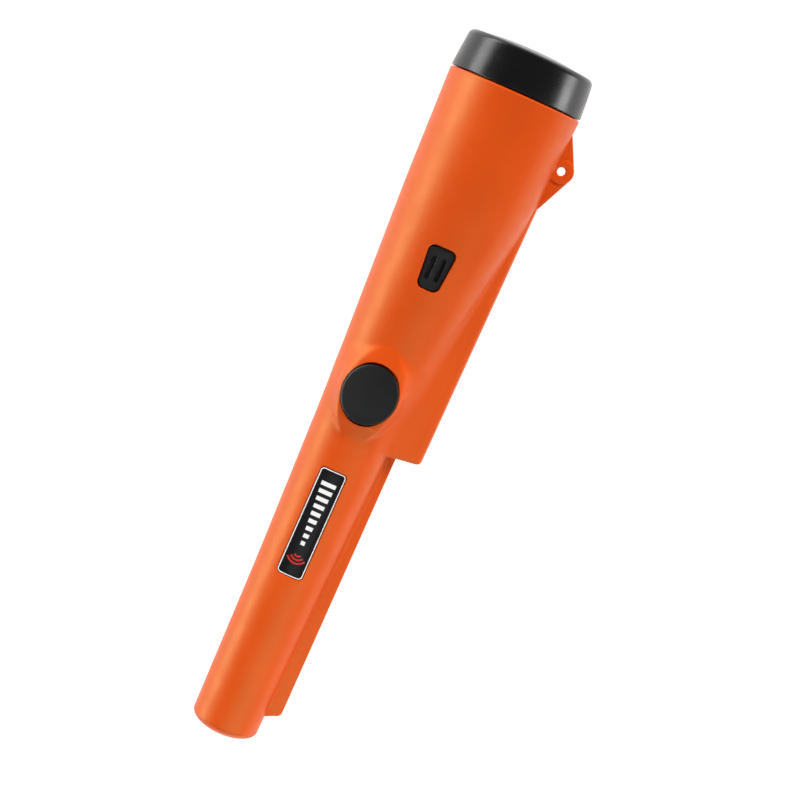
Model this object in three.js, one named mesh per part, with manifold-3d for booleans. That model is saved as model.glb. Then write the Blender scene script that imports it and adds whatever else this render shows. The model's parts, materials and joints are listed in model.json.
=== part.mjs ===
// Hand-held pinpointer probe: a tapered two-part shell with a scraper blade and a lanyard eye, a screw-on
// battery cap, a power button, a speaker grille and a lamp, around a search coil, a circuit board, a
// vibration motor and a nine-volt battery. All sizes are in millimetres.
//
// The probe's own frame: the tip is at y = 0.6 and +Y runs to the battery cap, whose end is at y = 240.
// +X points to the scraper blade and +Z out of the button's face. The last lines lay the probe on its back
// on the plane z = 0.
import * as THREE from "three";
import { mergeVertices } from "three/addons/utils/BufferGeometryUtils.js";
import Module from "manifold-3d";

const wasm = await Module();
wasm.setup();

// ---------------------------------------------------------------- driving dimensions

const CAP_END_Y = 240;
const WALL = 2; // moulded shell
const GAP = 0.3; // between pieces that touch
const SEAM_Z = 2; // parting plane of the two shells, just in front of the blade
const ROUND_SIDES = 56;
const SMALL_SIDES = 24;

// The round body: straight between these stations, with a half-ellipsoid nose below the first.
const NOSE_LENGTH = 4.4;
const STATIONS = [
  { y: 5, radius: 11.05, offset: 0 },
  { y: 60, radius: 12, offset: 0 },
  { y: 118, radius: 13.7, offset: 0 },
  { y: 190, radius: 20.45, offset: 3.25 },
  { y: 226, radius: 21.85, offset: 3.55 },
];
const SHOULDER_Y = STATIONS.at(-1).y;
const CAP_X = STATIONS.at(-1).offset; // the cap, the neck and the battery share this axis

// The finger keel: a wedge down the blade side of the handle, ending in a step.
const KEEL = {
  edgeX: 23.95,
  edgeRise: 0.008,
  rootHalf: 8.6,
  edgeHalf: 3,
  stepY: 106.6,
  topY: 219,
  stepSlant: 0.09,
};

// Scraper blade and lanyard eye, both in the plane z = 0.
const BLADE = { edgeX: 15.95, half: 1.3, endY: 10.6, slant: 2.3, cornerRadius: 2 };
const EYE = {
  x: 26.6,
  y: 209.6,
  radius: 4,
  half: 1.7,
  hole: 1.35,
  webHalf: 1.2,
  webTop: 221.5,
  webBottom: 196,
};

// Power button on its boss.
const BUTTON = { y: 122.8, halfX: 8.9, halfY: 9.7, edgeZ: 16.3, crownZ: 17.1, baseZ: 14.5 };
const BOSS = {
  halfX: 9.9,
  halfY: 17.2,
  plan: 1.65, // the power of the oval it is drawn with: 2 is an ellipse, 1 a diamond
  topZ: 15.6,
  flatHalfY: 10.4,
  capEndZ: 15.5,
  tipEndZ: 13.2,
};
const POCKET_FLOOR_Z = 13.4; // the button travels 0.8 down to 0.3 above it
const STEM_RADIUS = 2.4;

// Speaker grille and label, both in the front shell.
const GRILLE = {
  x: 2.8,
  y: 166.9,
  topWidth: 8.7,
  bottomWidth: 7,
  length: 13.8,
  corner: 1.4,
  recess: 0.3,
};
const SLOT = { width: 1.3, length: 7.4, spacing: 3.1 };
const LABEL = {
  x: -0.25,
  y: 77.5,
  width: 8.6,
  length: 36.8,
  corner: 1.3,
  depth: 0.8,
  thickness: 0.5,
};

// Threaded neck and battery cap.
const NECK = { outer: 17.2, bore: 15.4, endY: 236.8, groove: 16.4, grooveTop: 228.5 };
const THREAD = {
  pitch: 3.5,
  height: 0.9,
  rootWidth: 1.5,
  crestWidth: 0.8,
  startY: 230.2,
  turns: 1.5,
  capTurns: 1.25,
  steps: 24,
};
const CAP = { rim: 21.85, top: 20.95, inner: 18.5, mouth: 18.8, mouthDepth: 2.5, floorY: 237.4, flat: 9 };
const O_RING = { radius: 17.6, section: 0.85, y: 227.35 };

// Circuit board, with its top face up, and the battery.
const BOARD = { width: 18, startY: 68, endY: 156, thickness: 1.6, topZ: 0.8 };
const SCREW_PLACES = [[0, 73], [-6.2, 104], [0, 152.5]];
const BATTERY = { width: 26.5, depth: 17.5, corner: 2.5, startY: 185.5, length: 46.4, snapHalf: 6.35 };
const LAMP = { x: 17.8, z: -0.5, radius: 1.5 };
const MOTOR = { x: 3, z: -6.6, startY: 126, length: 14, radius: 3.5 };

// ---------------------------------------------------------------- materials

function plastic(color, roughness = 0.5) {
  return new THREE.MeshStandardMaterial({ color, roughness, metalness: 0 });
}

function metal(color, roughness = 0.3) {
  return new THREE.MeshStandardMaterial({ color, roughness, metalness: 1 });
}

const ORANGE = plastic(0xe4521c, 0.45);
const BLACK = plastic(0x1c1d1e, 0.4);
const RUBBER = plastic(0x232324, 0.65);
const LABEL_INK = plastic(0x0c0c0f, 0.3);
const BOARD_GREEN = plastic(0x1d5a34, 0.5);
const WHITE = plastic(0xe8e6df, 0.5);
const FOAM = plastic(0x3a3a3c, 0.95);
const RED_WIRE = plastic(0xb3201a, 0.5);
const CLEAR = new THREE.MeshStandardMaterial({
  color: 0xf4f8fa,
  roughness: 0.1,
  transparent: true,
  opacity: 0.5,
});
const STEEL = metal(0xb9bcc0, 0.3);
const BRASS = metal(0xc9a44c, 0.35);
const COPPER = metal(0xb5622c, 0.4);
const FERRITE = plastic(0x3b3b3d, 0.7);

// ---------------------------------------------------------------- solids

// A closed geometry as a solid, and a solid as a geometry.
function solid(geometry) {
  const bare = geometry.index ? geometry.toNonIndexed() : geometry.clone();
  bare.deleteAttribute("normal");
  bare.deleteAttribute("uv");
  const merged = mergeVertices(bare, 1e-4);
  return new wasm.Manifold(
    new wasm.Mesh({
      numProp: 3,
      vertProperties: merged.attributes.position.array,
      triVerts: new Uint32Array(merged.index.array),
    }),
  );
}

function geometryOf(body) {
  const mesh = body.getMesh();
  const geometry = new THREE.BufferGeometry();
  geometry.setAttribute("position", new THREE.BufferAttribute(new Float32Array(mesh.vertProperties), 3));
  geometry.setIndex(new THREE.BufferAttribute(new Uint32Array(mesh.triVerts), 1));
  return geometry.toNonIndexed();
}

const join = (...bodies) => bodies.reduce((sum, body) => sum.add(body));

// Primitives, each placed in the probe's frame.
function block(sizeX, sizeY, sizeZ, x, y, z) {
  return new THREE.BoxGeometry(sizeX, sizeY, sizeZ).translate(x, y, z);
}

function rodY(radius, fromY, toY, x = CAP_X, z = 0, sides = SMALL_SIDES) {
  return new THREE.CylinderGeometry(radius, radius, toY - fromY, sides).translate(x, (fromY + toY) / 2, z);
}

function rodZ(radius, fromZ, toZ, x, y, sides = SMALL_SIDES) {
  const rod = new THREE.CylinderGeometry(radius, radius, toZ - fromZ, sides).rotateX(Math.PI / 2);
  return rod.translate(x, y, (fromZ + toZ) / 2);
}

// A profile of [radius, y] pairs, going up the outside, turned about a line along Y.
function latheY(profile, x = CAP_X, z = 0, sides = SMALL_SIDES) {
  return new THREE.LatheGeometry(profile.map(([r, y]) => new THREE.Vector2(r, y)), sides).translate(x, 0, z);
}

// A profile of [radius, z] pairs, turned about a line along Z.
function latheZ(profile, x, y, sides = SMALL_SIDES) {
  return new THREE.LatheGeometry(profile.map(([r, z]) => new THREE.Vector2(r, z)), sides)
    .rotateX(Math.PI / 2)
    .translate(x, y, 0);
}

function ring(outer, inner, fromY, toY, x = CAP_X, z = 0) {
  const profile = [[inner, fromY], [outer, fromY], [outer, toY], [inner, toY], [inner, fromY]];
  return latheY(profile, x, z);
}

function prism(shape, fromZ, toZ, curveSegments = 8) {
  const settings = { depth: toZ - fromZ, bevelEnabled: false, curveSegments };
  return new THREE.ExtrudeGeometry(shape, settings).translate(0, 0, fromZ);
}

function ellipse(x, y, halfX, halfY) {
  const shape = new THREE.Shape();
  shape.absellipse(x, y, halfX, halfY, 0, 2 * Math.PI, false);
  return shape;
}

// A rectangle with rounded corners whose far end may be wider than its near end.
function roundedRectangle(x, y, nearWidth, farWidth, length, corner) {
  const near = nearWidth / 2;
  const far = farWidth / 2;
  const half = length / 2;
  const shape = new THREE.Shape();
  shape.moveTo(x - near + corner, y - half);
  shape.lineTo(x + near - corner, y - half);
  shape.quadraticCurveTo(x + near, y - half, x + near, y - half + corner);
  shape.lineTo(x + far, y + half - corner);
  shape.quadraticCurveTo(x + far, y + half, x + far - corner, y + half);
  shape.lineTo(x - far + corner, y + half);
  shape.quadraticCurveTo(x - far, y + half, x - far, y + half - corner);
  shape.lineTo(x - near, y - half + corner);
  shape.quadraticCurveTo(x - near, y - half, x - near + corner, y - half);
  return shape;
}

function wire(points, radius) {
  const curve = new THREE.CatmullRomCurve3(points.map((p) => new THREE.Vector3(...p)));
  const section = new THREE.Shape();
  section.absarc(0, 0, radius, 0, 2 * Math.PI, false);
  return new THREE.ExtrudeGeometry(section, { steps: 12, extrudePath: curve, curveSegments: 4 });
}

// ---------------------------------------------------------------- body shape

function bodyAt(y) {
  const upper = Math.max(1, STATIONS.findIndex((station) => station.y >= y));
  const [low, high] = [STATIONS[upper - 1], STATIONS[upper]];
  const share = Math.max(0, (y - low.y) / (high.y - low.y));
  const mix = (key) => THREE.MathUtils.lerp(low[key], high[key], share);
  return { radius: mix("radius"), offset: mix("offset") };
}

// The round body, shrunk by inset all over, cut off square at topY.
function roundBody(inset = 0, topY = SHOULDER_Y) {
  const noseSteps = 7;
  const nose = Array.from({ length: noseSteps }, (_, i) => {
    const turn = ((i + 1) / noseSteps) * (Math.PI / 2);
    const radius = (STATIONS[0].radius - inset) * Math.sin(turn);
    return [radius, STATIONS[0].y - (NOSE_LENGTH - inset) * Math.cos(turn)];
  });
  const stem = STATIONS.slice(1).filter((s) => s.y < topY).map((s) => [s.radius - inset, s.y]);
  const apex = STATIONS[0].y - NOSE_LENGTH + inset;
  const profile = [[0, apex], ...nose, ...stem, [bodyAt(topY).radius - inset, topY], [0, topY]];
  const geometry = latheY(profile, 0, 0, ROUND_SIDES);
  const position = geometry.attributes.position;
  for (let i = 0; i < position.count; i++) {
    position.setX(i, position.getX(i) + bodyAt(position.getY(i)).offset);
  }
  return solid(geometry);
}

// The keel's section, thick at the root and thin at its rounded outer edge, drawn out along Y and leaned
// outwards a little towards the cap. Its lower end slopes, so that the step is lowest beside the tube.
function keel(inset = 0) {
  const root = KEEL.rootHalf - inset;
  const edge = KEEL.edgeHalf - inset;
  const edgeX = KEEL.edgeX - inset;
  const section = new THREE.Shape();
  section.moveTo(2, -root);
  section.lineTo(edgeX - edge, -edge);
  section.absarc(edgeX - edge, 0, edge, -Math.PI / 2, Math.PI / 2, false);
  section.lineTo(2, root);
  section.closePath();
  const low = KEEL.stepY + inset;
  const length = KEEL.topY - inset - low;
  const settings = { depth: length, bevelEnabled: false, curveSegments: 6 };
  const geometry = new THREE.ExtrudeGeometry(section, settings);
  geometry.rotateX(-Math.PI / 2);
  geometry.translate(0, low, 0);
  const position = geometry.attributes.position;
  for (let i = 0; i < position.count; i++) {
    const [x, y] = [position.getX(i), position.getY(i)];
    if (y < low + 1) position.setY(i, y + KEEL.stepSlant * (x - KEEL.edgeX));
    position.setX(i, x + KEEL.edgeRise * (y - KEEL.stepY));
  }
  return solid(geometry);
}

// A tower under the button, pointed at both ends, its roof flat round the button and falling towards the
// ends.
function buttonBoss() {
  const power = (value) => Math.sign(value) * Math.abs(value) ** (2 / BOSS.plan);
  const corners = Array.from({ length: ROUND_SIDES }, (_, i) => {
    const turn = (2 * Math.PI * i) / ROUND_SIDES;
    const x = BOSS.halfX * power(Math.cos(turn));
    return new THREE.Vector2(x, BUTTON.y + BOSS.halfY * power(Math.sin(turn)));
  });
  const tower = solid(prism(new THREE.Shape(corners), 4, BOSS.topZ));
  const run = BOSS.halfY - BOSS.flatHalfY;
  const cutters = [[-1, BOSS.tipEndZ], [1, BOSS.capEndZ]].map(([side, endZ]) => {
    const fall = Math.atan((BOSS.topZ - endZ) / run);
    const cutter = new THREE.BoxGeometry(40, 40, 20).translate(0, side * 20, 10);
    cutter.rotateX(-side * fall).translate(0, BUTTON.y + side * BOSS.flatHalfY, BOSS.topZ);
    return solid(cutter);
  });
  return tower.subtract(cutters[0]).subtract(cutters[1]);
}

// A helical ridge between a root and a crest radius; the crest is inside the root on an internal thread.
function threadRidge(root, crest, startY, turns) {
  const count = Math.round(turns * THREAD.steps);
  const corners = [[root, -THREAD.rootWidth / 2], [crest, -THREAD.crestWidth / 2]];
  corners.push([crest, THREAD.crestWidth / 2], [root, THREAD.rootWidth / 2]);
  const points = [];
  for (let i = 0; i <= count; i++) {
    const angle = (2 * Math.PI * i) / THREAD.steps;
    const y = startY + (THREAD.pitch * i) / THREAD.steps;
    for (const [r, dy] of corners) {
      points.push(CAP_X + r * Math.sin(angle), y + dy, r * Math.cos(angle));
    }
  }
  const faces = [0, 2, 1, 0, 3, 2];
  const last = 4 * count;
  faces.push(last, last + 1, last + 2, last, last + 2, last + 3);
  for (let i = 0; i < count; i++) {
    for (let k = 0; k < 4; k++) {
      const [a, b] = [4 * i + k, 4 * i + ((k + 1) % 4)];
      faces.push(a, b, b + 4, a, b + 4, a + 4);
    }
  }
  if (root > crest) faces.reverse();
  const geometry = new THREE.BufferGeometry();
  geometry.setAttribute("position", new THREE.BufferAttribute(new Float32Array(points), 3));
  geometry.setIndex(faces);
  return solid(geometry);
}

// Half of all space on one side of the parting plane, less half the seam's gap.
function sideOfSeam(front) {
  const size = 400;
  const z = front ? SEAM_Z + GAP / 2 + size / 2 : SEAM_Z - GAP / 2 - size / 2;
  return solid(block(size, size, size, 0, CAP_END_Y / 2, z));
}

// ---------------------------------------------------------------- shells

function neck() {
  const profile = [
    [0, SHOULDER_Y - 3],
    [NECK.outer, SHOULDER_Y - 3],
    [NECK.outer, SHOULDER_Y - 0.5],
    [NECK.groove, SHOULDER_Y - 0.5],
    [NECK.groove, NECK.grooveTop],
    [NECK.outer, NECK.grooveTop],
    [NECK.outer, NECK.endY - 0.6],
    [NECK.outer - 0.6, NECK.endY],
    [0, NECK.endY],
  ];
  const ridge = threadRidge(NECK.outer - 0.4, NECK.outer + THREAD.height, THREAD.startY, THREAD.turns);
  return solid(latheY(profile, CAP_X, 0, ROUND_SIDES)).add(ridge);
}

function cavity() {
  const bore = solid(rodY(NECK.bore, SHOULDER_Y - 8, NECK.endY + 1, CAP_X, 0, ROUND_SIDES));
  return join(roundBody(WALL, SHOULDER_Y - 2.3), bore, keel(WALL));
}

function blade() {
  const shape = new THREE.Shape();
  const buried = 1.2;
  shape.moveTo(bodyAt(BLADE.endY).radius - buried, BLADE.endY);
  shape.lineTo(BLADE.edgeX - BLADE.cornerRadius, BLADE.endY + BLADE.slant - 0.4);
  const cornerY = BLADE.endY + BLADE.slant;
  shape.quadraticCurveTo(BLADE.edgeX, cornerY, BLADE.edgeX, cornerY + 2.5);
  shape.lineTo(BLADE.edgeX, KEEL.stepY + 1);
  shape.lineTo(bodyAt(KEEL.stepY).radius - buried, KEEL.stepY + 1);
  return solid(prism(shape, -BLADE.half, BLADE.half, 4));
}

function lanyardEye() {
  const rootX = CAP_X + bodyAt(EYE.y).radius - 1.2;
  const web = new THREE.Shape();
  const lean = 0.5; // of the boss's radius, where the web's edges meet its circle
  web.moveTo(rootX, EYE.webBottom);
  web.lineTo(rootX + 1.2, EYE.webBottom);
  web.lineTo(EYE.x + EYE.radius * 0.86, EYE.y - EYE.radius * lean);
  web.lineTo(EYE.x + EYE.radius * 0.86, EYE.y + EYE.radius * lean);
  web.lineTo(rootX + 1.5, EYE.webTop);
  web.lineTo(rootX, EYE.webTop);
  const boss = solid(rodZ(EYE.radius, -EYE.half, EYE.half, EYE.x, EYE.y));
  const hole = solid(rodZ(EYE.hole, -5, 5, EYE.x, EYE.y, 20));
  return solid(prism(web, -EYE.webHalf, EYE.webHalf)).add(boss).subtract(hole);
}

function grilleShape(grow = 0) {
  const { x, y, topWidth, bottomWidth, length, corner } = GRILLE;
  const [bottom, top, long] = [bottomWidth + 2 * grow, topWidth + 2 * grow, length + 2 * grow];
  return roundedRectangle(x, y, bottom, top, long, corner + grow);
}

function labelShape(grow = 0) {
  const width = LABEL.width + 2 * grow;
  return roundedRectangle(LABEL.x, LABEL.y, width, width, LABEL.length + 2 * grow, LABEL.corner + grow);
}

// Rails that hold the battery's broad faces, on one side of the probe.
function batteryRails(side) {
  const faceZ = BATTERY.depth / 2 + 0.4;
  const rails = [-9, 9].map((x) => {
    const rail = block(1.6, 36, 20 - faceZ, CAP_X + x, 204, side * (faceZ + (20 - faceZ) / 2));
    return solid(rail).intersect(roundBody(WALL / 2));
  });
  return join(...rails);
}

function frontShell(outside, inside) {
  const pocketShape = ellipse(0, BUTTON.y, BUTTON.halfX + GAP, BUTTON.halfY + GAP);
  const pocket = prism(pocketShape, POCKET_FLOOR_Z, 20, 14);
  const labelRecess = solid(prism(labelShape(GAP), 5, 20, 3)).subtract(roundBody(LABEL.depth));
  return outside
    .subtract(inside)
    .intersect(sideOfSeam(true))
    .add(batteryRails(1).intersect(sideOfSeam(true)))
    .subtract(solid(pocket))
    .subtract(solid(rodZ(STEM_RADIUS + GAP, 4, 20, 0, BUTTON.y)))
    .subtract(solid(prism(grilleShape(GAP), 5, 25, 3)))
    .subtract(labelRecess);
}

function rearShell(outside, inside) {
  const postTop = BOARD.topZ - BOARD.thickness - GAP;
  const posts = SCREW_PLACES.map(([x, y]) => {
    const post = solid(rodZ(2.6, -20, postTop, x, y, 16)).intersect(roundBody(WALL / 2));
    return post.subtract(solid(rodZ(1.3, postTop - 6.5, postTop + 1, x, y, 12)));
  });
  const lampHole = rodY(LAMP.radius + GAP, KEEL.stepY - 5, KEEL.stepY + 5, LAMP.x, LAMP.z);
  return join(outside, blade(), lanyardEye())
    .subtract(inside)
    .intersect(sideOfSeam(false))
    .add(join(...posts))
    .add(batteryRails(-1))
    .subtract(solid(lampHole));
}

// ---------------------------------------------------------------- battery cap and its swivel pad

function batteryCap() {
  const corner = 2.1;
  const shoulder = Array.from({ length: 5 }, (_, i) => {
    const turn = (i / 4) * (Math.PI / 2);
    return [CAP.top - corner * (1 - Math.cos(turn)), CAP_END_Y - 1 - corner * (1 - Math.sin(turn))];
  });
  const profile = [
    [0, 238.7],
    [2.3, 238.7],
    [2.3, CAP.floorY],
    [CAP.inner, CAP.floorY],
    [CAP.inner, SHOULDER_Y + GAP + CAP.mouthDepth + 0.3],
    [CAP.mouth, SHOULDER_Y + GAP + CAP.mouthDepth],
    [CAP.mouth, SHOULDER_Y + GAP],
    [CAP.rim - 0.3, SHOULDER_Y + GAP],
    [CAP.rim, SHOULDER_Y + GAP + 0.3],
    ...shoulder,
    [CAP.flat, CAP_END_Y],
    [0, CAP_END_Y],
  ];
  const startY = THREAD.startY + THREAD.pitch / 2;
  const thread = threadRidge(CAP.inner + 0.4, CAP.inner - THREAD.height, startY, THREAD.capTurns);
  return solid(latheY(profile, CAP_X, 0, ROUND_SIDES)).add(thread);
}

function padDisc() {
  const [disc, pin] = [12.5, 1.9];
  return latheY([[0, 235.2], [disc, 235.2], [disc, 236.4], [pin, 236.4], [pin, 238.2], [0, 238.2]]);
}

function oRing() {
  const sides = 10;
  const profile = Array.from({ length: sides + 1 }, (_, i) => {
    const turn = (-2 * Math.PI * i) / sides;
    return [O_RING.radius + O_RING.section * Math.cos(-turn), O_RING.y + O_RING.section * Math.sin(-turn)];
  });
  return latheY(profile, CAP_X, 0, 48);
}

// ---------------------------------------------------------------- button

function buttonCap() {
  const { halfX, halfY, baseZ, edgeZ, crownZ } = BUTTON;
  const profile = [[0, baseZ], [1, baseZ], [1, edgeZ - 0.6], [0.965, edgeZ - 0.15], [0.9, edgeZ]];
  profile.push([0.6, (edgeZ + crownZ) / 2 + 0.15], [0.3, crownZ - 0.08], [0, crownZ]);
  return latheZ(profile, 0, 0, 40).scale(halfX, halfY, 1).translate(0, BUTTON.y, 0);
}

function stemClip() {
  return latheZ([[2.7, 10], [4.2, 10], [4.2, 10.9], [2.7, 10.9], [2.7, 10]], 0, BUTTON.y);
}

function switchBody() {
  const well = solid(rodZ(2, 2.4, 6, 0, BUTTON.y));
  return geometryOf(solid(block(6, 6, 3.5, 0, BUTTON.y, 2.85)).subtract(well));
}

// ---------------------------------------------------------------- grille, label and speaker

function speakerGrille() {
  const slots = [-1, 1].map((side) => {
    const x = GRILLE.x + (side * SLOT.spacing) / 2;
    const slot = roundedRectangle(x, GRILLE.y, SLOT.width, SLOT.width, SLOT.length, 0.5);
    return solid(prism(slot, 5, 25, 2));
  });
  return solid(prism(grilleShape(), 5, 25, 3))
    .intersect(roundBody(GRILLE.recess))
    .subtract(roundBody(WALL + 0.6))
    .subtract(join(...slots));
}

function speakerGauze() {
  return solid(prism(grilleShape(-0.5), 5, 25, 3))
    .intersect(roundBody(WALL + 0.9))
    .subtract(roundBody(WALL + 1.3));
}

function labelPlate() {
  return solid(prism(labelShape(), 5, 20, 3))
    .intersect(roundBody())
    .subtract(roundBody(LABEL.thickness));
}

// ---------------------------------------------------------------- board, coil, motor and battery

function board() {
  const middle = (BOARD.startY + BOARD.endY) / 2;
  const z = BOARD.topZ - BOARD.thickness / 2;
  const sheet = solid(block(BOARD.width, BOARD.endY - BOARD.startY, BOARD.thickness, 0, middle, z));
  const holes = SCREW_PLACES.map(([x, y]) => solid(rodZ(1.35, -3, 3, x, y, 16)));
  return sheet.subtract(join(...holes));
}

function boardScrew(x, y) {
  const head = BOARD.topZ + GAP;
  const profile = [[0, -6], [1, -5.6], [1, head], [2.1, head], [2, head + 1]];
  profile.push([1.2, head + 1.4], [0, head + 1.4]);
  return latheZ(profile, x, y, 16);
}

function coilFormer() {
  const [bore, core, flange] = [4.3, 5.6, 8];
  const profile = [[bore, 10], [flange, 10], [flange, 11.2], [core, 11.2]];
  profile.push([core, 53], [flange, 53], [flange, 54.2], [bore, 54.2], [bore, 10]);
  return latheY(profile, 0);
}

function lampGeometry() {
  const foot = KEEL.stepY - 0.9;
  const dome = Array.from({ length: 5 }, (_, i) => {
    const turn = ((i + 1) / 5) * (Math.PI / 2);
    return [LAMP.radius * Math.sin(turn), foot + LAMP.radius * (1 - Math.cos(turn))];
  });
  const profile = [[0, foot], ...dome, [LAMP.radius, foot + 5.2], [0, foot + 5.2]];
  return latheY(profile, LAMP.x, LAMP.z, 16);
}

function eccentricWeight() {
  const y = MOTOR.startY + MOTOR.length + 5;
  const half = new THREE.Shape();
  half.absarc(0, 0, 3.6, Math.PI, 2 * Math.PI, false);
  half.lineTo(1.6, 1.6);
  half.lineTo(-1.6, 1.6);
  const bore = new THREE.Path();
  bore.absarc(0, 0, 0.9, 0, 2 * Math.PI, true);
  half.holes.push(bore);
  const weight = new THREE.ExtrudeGeometry(half, { depth: 4, bevelEnabled: false, curveSegments: 12 });
  weight.rotateX(Math.PI / 2).translate(MOTOR.x, y, MOTOR.z);
  return weight;
}

function batteryBody() {
  const { width, depth, corner, length, startY } = BATTERY;
  const shape = roundedRectangle(0, 0, width, width, depth, corner);
  const settings = { depth: length, bevelEnabled: false, curveSegments: 4 };
  const geometry = new THREE.ExtrudeGeometry(shape, settings);
  return geometry.rotateX(-Math.PI / 2).translate(CAP_X, startY, 0);
}

// ---------------------------------------------------------------- assembly

const probe = new THREE.Group();

function piece(name, geometry, material) {
  const shape = geometry.isBufferGeometry ? geometry : geometryOf(geometry);
  const mesh = new THREE.Mesh(shape, material);
  mesh.name = name;
  probe.add(mesh);
}

const outside = join(roundBody(), keel(), neck(), buttonBoss());
const inside = cavity();
piece("front_shell", frontShell(outside, inside), ORANGE);
piece("rear_shell", rearShell(outside, inside), ORANGE);
piece("label_plate", labelPlate(), LABEL_INK);

piece("battery_cap", batteryCap(), BLACK);
piece("cap_o_ring", oRing(), RUBBER);
piece("pad_disc", padDisc(), WHITE);
piece("pressure_pad", rodY(12, 232.2, 234.9), FOAM);

piece("button_cap", buttonCap(), RUBBER);
piece("button_stem", rodZ(STEM_RADIUS, 5.9, BUTTON.baseZ - GAP, 0, BUTTON.y), BLACK);
piece("stem_clip", stemClip(), STEEL);
piece("switch_body", switchBody(), BLACK);
piece("switch_plunger", rodZ(1.7, 3.6, 5.6, 0, BUTTON.y, 16), WHITE);

piece("speaker_grille", speakerGrille(), BLACK);
piece("speaker_gauze", speakerGauze(), FOAM);
piece("speaker", rodZ(7.2, 8.6, 12.6, GRILLE.x, GRILLE.y, 32), BLACK);
piece("speaker_magnet", rodZ(4.6, 6.4, 8.3, GRILLE.x, GRILLE.y), STEEL);

piece("circuit_board", board(), BOARD_GREEN);
SCREW_PLACES.forEach(([x, y], i) => {
  piece(`board_screw_${i + 1}`, boardScrew(x, y), STEEL);
});
const partZ = BOARD.topZ + GAP;
piece("controller_chip", block(7, 7, 1.2, 0, 139, partZ + 0.6), BLACK);
piece("amplifier_chip", block(4, 5, 1.4, 2.5, 84, partZ + 0.7), BLACK);
piece("crystal", block(3.2, 8, 2.6, -5.4, 92, partZ + 1.3), STEEL);
piece("voltage_regulator", block(6.2, 3.6, 1.7, 3.5, 148, partZ + 0.85), BLACK);
const CAPACITORS = [[5, 97], [5, 106]];
CAPACITORS.forEach(([x, y], i) => {
  piece(`capacitor_${i + 1}`, rodZ(2.5, partZ, partZ + 5.4, x, y, 20), STEEL);
});

piece("ferrite_rod", rodY(4, 8.5, 62, 0), FERRITE);
piece("coil_former", coilFormer(), WHITE);
piece("coil_winding", ring(7.5, 5.9, 11.5, 52.7, 0), COPPER);
piece("tip_pad", rodY(6.5, 4.4, 8.2, 0), FOAM);
const COIL_LEAD_ENDS = [-5, 5];
COIL_LEAD_ENDS.forEach((x, i) => {
  const wide = x * 1.3;
  const route = [[wide, 54.6, 3.2], [wide, 60, 4.4], [x, 66, 4.6], [x, 70.5, 3.4], [x, 72, 1.6]];
  piece(`coil_lead_${i + 1}`, wire(route, 0.45), COPPER);
});

piece("lamp", lampGeometry(), CLEAR);
const LAMP_LEAD_SIDES = [-1, 1];
LAMP_LEAD_SIDES.forEach((side, i) => {
  const [x, y, z] = [LAMP.x, KEEL.stepY + 4.7, LAMP.z];
  const route = [[x, y, z + side * 0.65], [x - 1, y + 3, z + 0.6 + side * 0.65]];
  route.push([13, y + 6 + side * 0.4, 1.8 + side * 0.6]);
  route.push([9.2, y + 8 + side, 2.8 + side * 0.3], [6.9, y + 8.4 + side, 1.7]);
  piece(`lamp_lead_${i + 1}`, wire(route, 0.35), STEEL);
});

const { x: motorX, z: motorZ, startY: motorY, length: motorLength, radius: motorRadius } = MOTOR;
const motorShaft = rodY(0.5, motorY + motorLength - 1, motorY + motorLength + 5.5, motorX, motorZ, 12);
const motorCan = rodY(motorRadius, motorY, motorY + motorLength, motorX, motorZ);
piece("vibration_motor", join(solid(motorCan), solid(motorShaft)), STEEL);
const sleeveEnds = [motorY + 1.5, motorY + motorLength - 2];
piece("motor_sleeve", ring(4.9, motorRadius + GAP, ...sleeveEnds, motorX, motorZ), RUBBER);
piece("eccentric_weight", eccentricWeight(), BRASS);

piece("battery", batteryBody(), BLACK);
const { startY: batteryY, snapHalf } = BATTERY;
piece("battery_stud", rodY(2.6, batteryY - 2.9, batteryY - GAP, CAP_X - snapHalf), STEEL);
piece("battery_socket", ring(4, 2.95, batteryY - 2.6, batteryY - GAP, CAP_X + snapHalf), STEEL);
piece("connector_socket", ring(3.9, 2.95, batteryY - 3.2, batteryY - 0.9, CAP_X - snapHalf), STEEL);
piece("connector_stud", rodY(2.6, batteryY - 3.2, batteryY - 0.9, CAP_X + snapHalf), STEEL);
piece("connector_plate", block(24, 2.6, 14, CAP_X, batteryY - 4.8, 0), BLACK);
const BATTERY_LEADS = [["battery_lead_red", -1, RED_WIRE], ["battery_lead_black", 1, RUBBER]];
for (const [name, side, material] of BATTERY_LEADS) {
  const startX = CAP_X + side * 5;
  const route = [[startX, batteryY - 6.5, 0], [startX, 174, -1.5], [side * 6, 166, -2.6]];
  route.push([side * 5, 158, 1], [side * 5, 154.5, 3], [side * 5.6, 153, 1.8]);
  piece(name, wire(route, 0.7), material);
}

// ---------------------------------------------------------------- at rest

// The probe lies on its back, touching the ground near its tip and at the widest place behind its handle.
const resting = STATIONS[3];
const REST_TILT = Math.asin((resting.radius - STATIONS[0].radius) / (resting.y - STATIONS[0].y));
probe.rotation.x = REST_TILT;
probe.updateMatrixWorld(true);
const bounds = new THREE.Box3().setFromObject(probe, true);
const middle = bounds.getCenter(new THREE.Vector3());
probe.position.set(-middle.x, -middle.y, -bounds.min.z);

const model = new THREE.Group();
model.add(probe);
export default model;
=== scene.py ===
"""Looks of the pinpointer probe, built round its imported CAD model.

Shapes are made in millimetres in the probe's own frame (+Y from the tip to the battery cap, +X to the scraper
blade, +Z out of the button's face) and set into the row's frame, in metres, by TO_ROW.
"""

import json
import math

import bmesh
import bpy
import numpy as np
from mathutils import Matrix, Vector


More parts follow.
